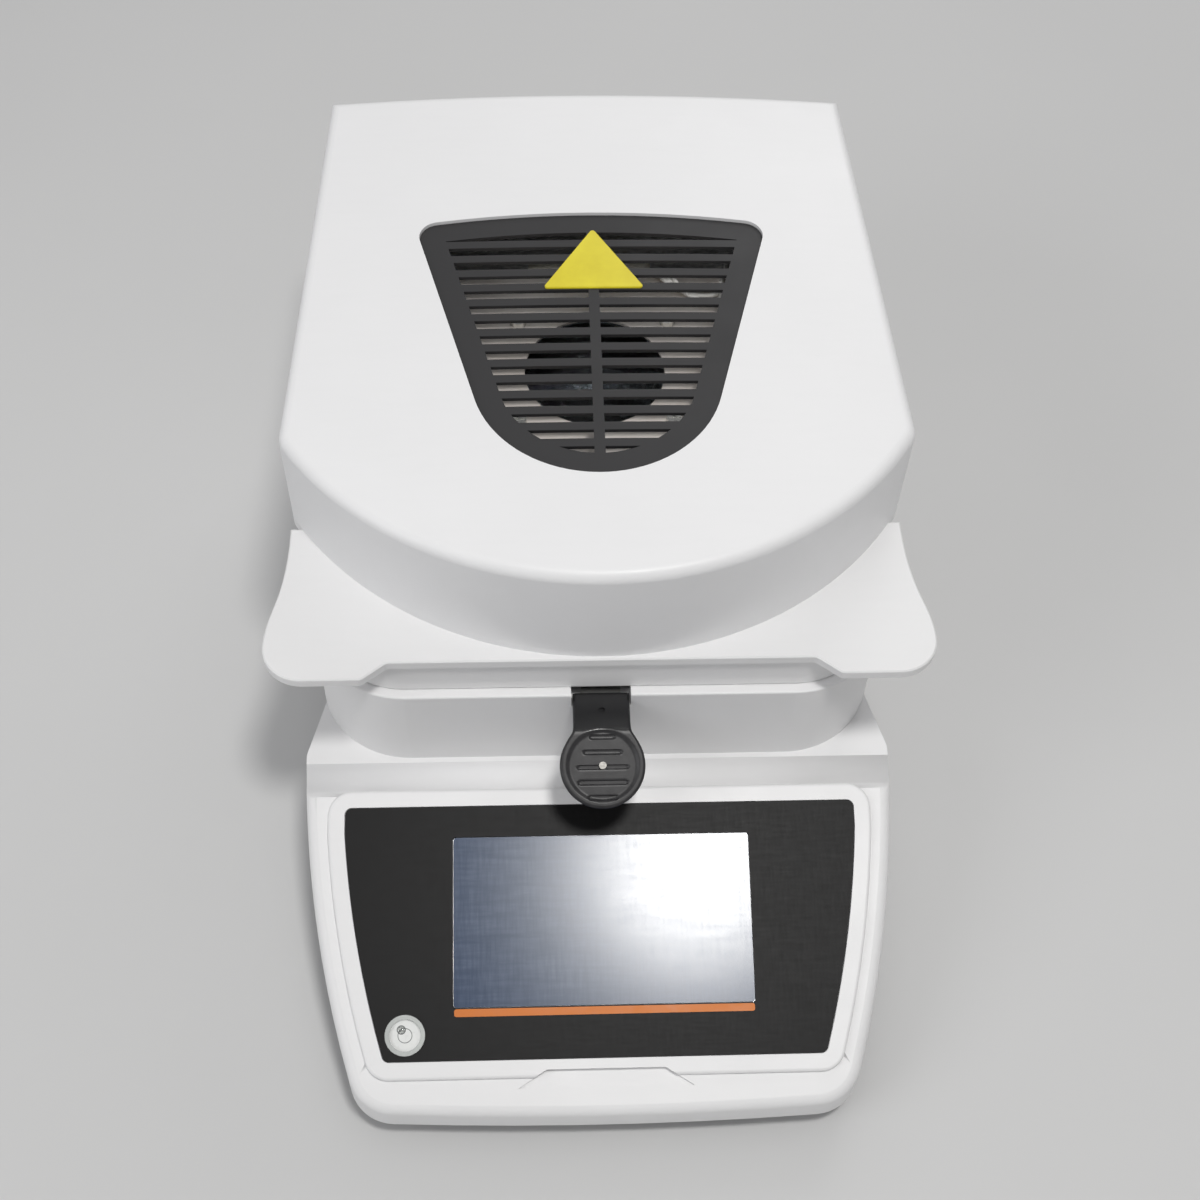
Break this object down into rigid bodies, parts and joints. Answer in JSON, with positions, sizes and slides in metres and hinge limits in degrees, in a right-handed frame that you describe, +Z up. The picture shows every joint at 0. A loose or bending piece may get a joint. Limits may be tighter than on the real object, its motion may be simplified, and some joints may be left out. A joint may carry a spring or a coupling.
{
  "type": "moisture analyzer",
  "caption": "Halogen moisture analyzer: a weighing base with sloped touch panel, lifted sample pan and a hinged heating hood with a let-in vent grille",
  "frame": {"origin": "on the table, in the middle of the instrument's overall width and length", "axes": "+X to the viewer's right seen from the front, +Y to the back, +Z up; the sloped panel faces -Y and up"},
  "size_m": [0.234, 0.362, 0.17],
  "materials": {
    "housing_plastic": "fine texture, white grey",
    "hood_plastic": "fine texture, white grey",
    "tray_plastic": "dark grey, matt",
    "grille_plastic": "charcoal, matt, heat resistant",
    "overlay_black": "black film, satin gloss",
    "screen_glass": "dark, glossy",
    "module_metal": "plain sheet",
    "vial_clear": "clear, over a pale dial",
    "ring_steel": "bright",
    "zinc_steel": "zinc plated",
    "hinge_steel": "plain",
    "liner_steel": "satin stainless",
    "plate_zinc": "zinc plated sheet",
    "reflector_bright": "polished",
    "cell_aluminium": "milled",
    "pan_aluminium": "thin bright sheet",
    "brass_insert": "turned",
    "port_nickel": "nickel plated",
    "foot_rubber": "black, matt",
    "strip_rubber": "grey, matt",
    "wheel_plastic": "black, matt",
    "socket_black": "black, matt",
    "rocker_black": "black, satin",
    "grip_plastic": "black, satin",
    "board_green": "lacquered board",
    "heat_glass": "clear heat-resistant",
    "lamp_quartz": "clear quartz",
    "holder_ceramic": "unglazed ceramic look",
    "fuse_glass": "clear glass with metal caps"
  },
  "bodies": {
    "base": {"housing": "housing_plastic", "base_tray": "tray_plastic", "tray_screws": "zinc_steel", "foot_inserts": "brass_insert", "base_hinges": "hinge_steel", "base_hinge_screws": "zinc_steel", "hinge_pins": "hinge_steel", "rim_strips": "strip_rubber", "touch_glass": "screen_glass", "display_module": "module_metal", "display_bracket": "zinc_steel", "bracket_screws": "zinc_steel", "panel_overlay": "overlay_black", "level_vial": "vial_clear", "level_ring": "ring_steel", "power_inlet": "socket_black", "inlet_screws": "zinc_steel", "switch_frame": "socket_black", "serial_port": "port_nickel", "usb_port": "port_nickel", "chamber_liner": "liner_steel", "wind_shield": "liner_steel", "load_cell": "cell_aluminium", "cell_mount": "cell_aluminium", "board_standoffs": "brass_insert", "board_screws": "zinc_steel", "control_board": "board_green", "power_board": "board_green"},
    "hood": {"hood_cover": "hood_plastic", "hood_frame": "housing_plastic", "vent_grille": "grille_plastic", "chamber_glass": "heat_glass", "glass_retainer": "liner_steel", "reflector": "reflector_bright", "halogen_lamp": "lamp_quartz", "lamp_holders": "holder_ceramic", "heat_plate": "plate_zinc", "plate_standoffs": "zinc_steel", "plate_screws": "zinc_steel", "temperature_sensor": "ring_steel", "hood_hinges": "hinge_steel", "hood_hinge_screws": "zinc_steel", "cover_screws": "zinc_steel"},
    "carrier": {"spindle": "liner_steel", "pan_support": "liner_steel"},
    "pan": {"sample_pan": "pan_aluminium"},
    "lifter": {"lifter_plate": "liner_steel", "lifter_grip": "grip_plastic", "grip_rivets": "ring_steel"},
    "drawer": {"fuse_drawer": "socket_black", "fuse": "fuse_glass"},
    "rocker": {"switch_rocker": "rocker_black"},
    "foot_front_left": {"foot_pad_front_left": "foot_rubber", "foot_wheel_front_left": "wheel_plastic"},
    "foot_front_right": {"foot_pad_front_right": "foot_rubber", "foot_wheel_front_right": "wheel_plastic"},
    "foot_rear_left": {"foot_pad_rear_left": "foot_rubber", "foot_wheel_rear_left": "wheel_plastic"},
    "foot_rear_right": {"foot_pad_rear_right": "foot_rubber", "foot_wheel_rear_right": "wheel_plastic"}
  },
  "joints": [
    {"name": "hood_hinge", "type": "hinge", "parent": "base", "child": "hood", "pos_m": [0, 0.175, 0.1044], "axis": [-1, 0, 0], "range_deg": [0, 70]},
    {"name": "carrier_load", "type": "slide", "parent": "base", "child": "carrier", "axis": [0, 0, -1], "range_m": [0, 0.0005], "stiffness_N_per_m": 10000},
    {"name": "lifter_lift", "type": "slide", "parent": "base", "child": "lifter", "axis": [0, 0, 1], "range_m": [0, 0.0025]},
    {"name": "pan_lift", "type": "slide", "parent": "carrier", "child": "pan", "axis": [0, 0, 1], "range_m": [0, 0.0025]},
    {"name": "fuse_drawer_slide", "type": "slide", "parent": "base", "child": "drawer", "axis": [0, 1, 0], "range_m": [0, 0.014]},
    {"name": "switch_rock", "type": "hinge", "parent": "base", "child": "rocker", "pos_m": [-0.022, 0.1725, 0.046], "axis": [-1, 0, 0], "range_deg": [0, 18]},
    {"name": "foot_screw_front_left", "type": "hinge", "parent": "base", "child": "foot_front_left", "pos_m": [-0.078, -0.138, 0.012], "axis": [0, 0, 1], "continuous": true},
    {"name": "foot_screw_front_right", "type": "hinge", "parent": "base", "child": "foot_front_right", "pos_m": [0.078, -0.138, 0.012], "axis": [0, 0, 1], "continuous": true},
    {"name": "foot_screw_rear_left", "type": "hinge", "parent": "base", "child": "foot_rear_left", "pos_m": [-0.08, 0.14, 0.012], "axis": [0, 0, 1], "continuous": true},
    {"name": "foot_screw_rear_right", "type": "hinge", "parent": "base", "child": "foot_rear_right", "pos_m": [0.08, 0.14, 0.012], "axis": [0, 0, 1], "continuous": true}
  ],
  "couplings": [
    {"joint": "pan_lift", "follows": "lifter_lift", "ratio": 1}
  ]
}
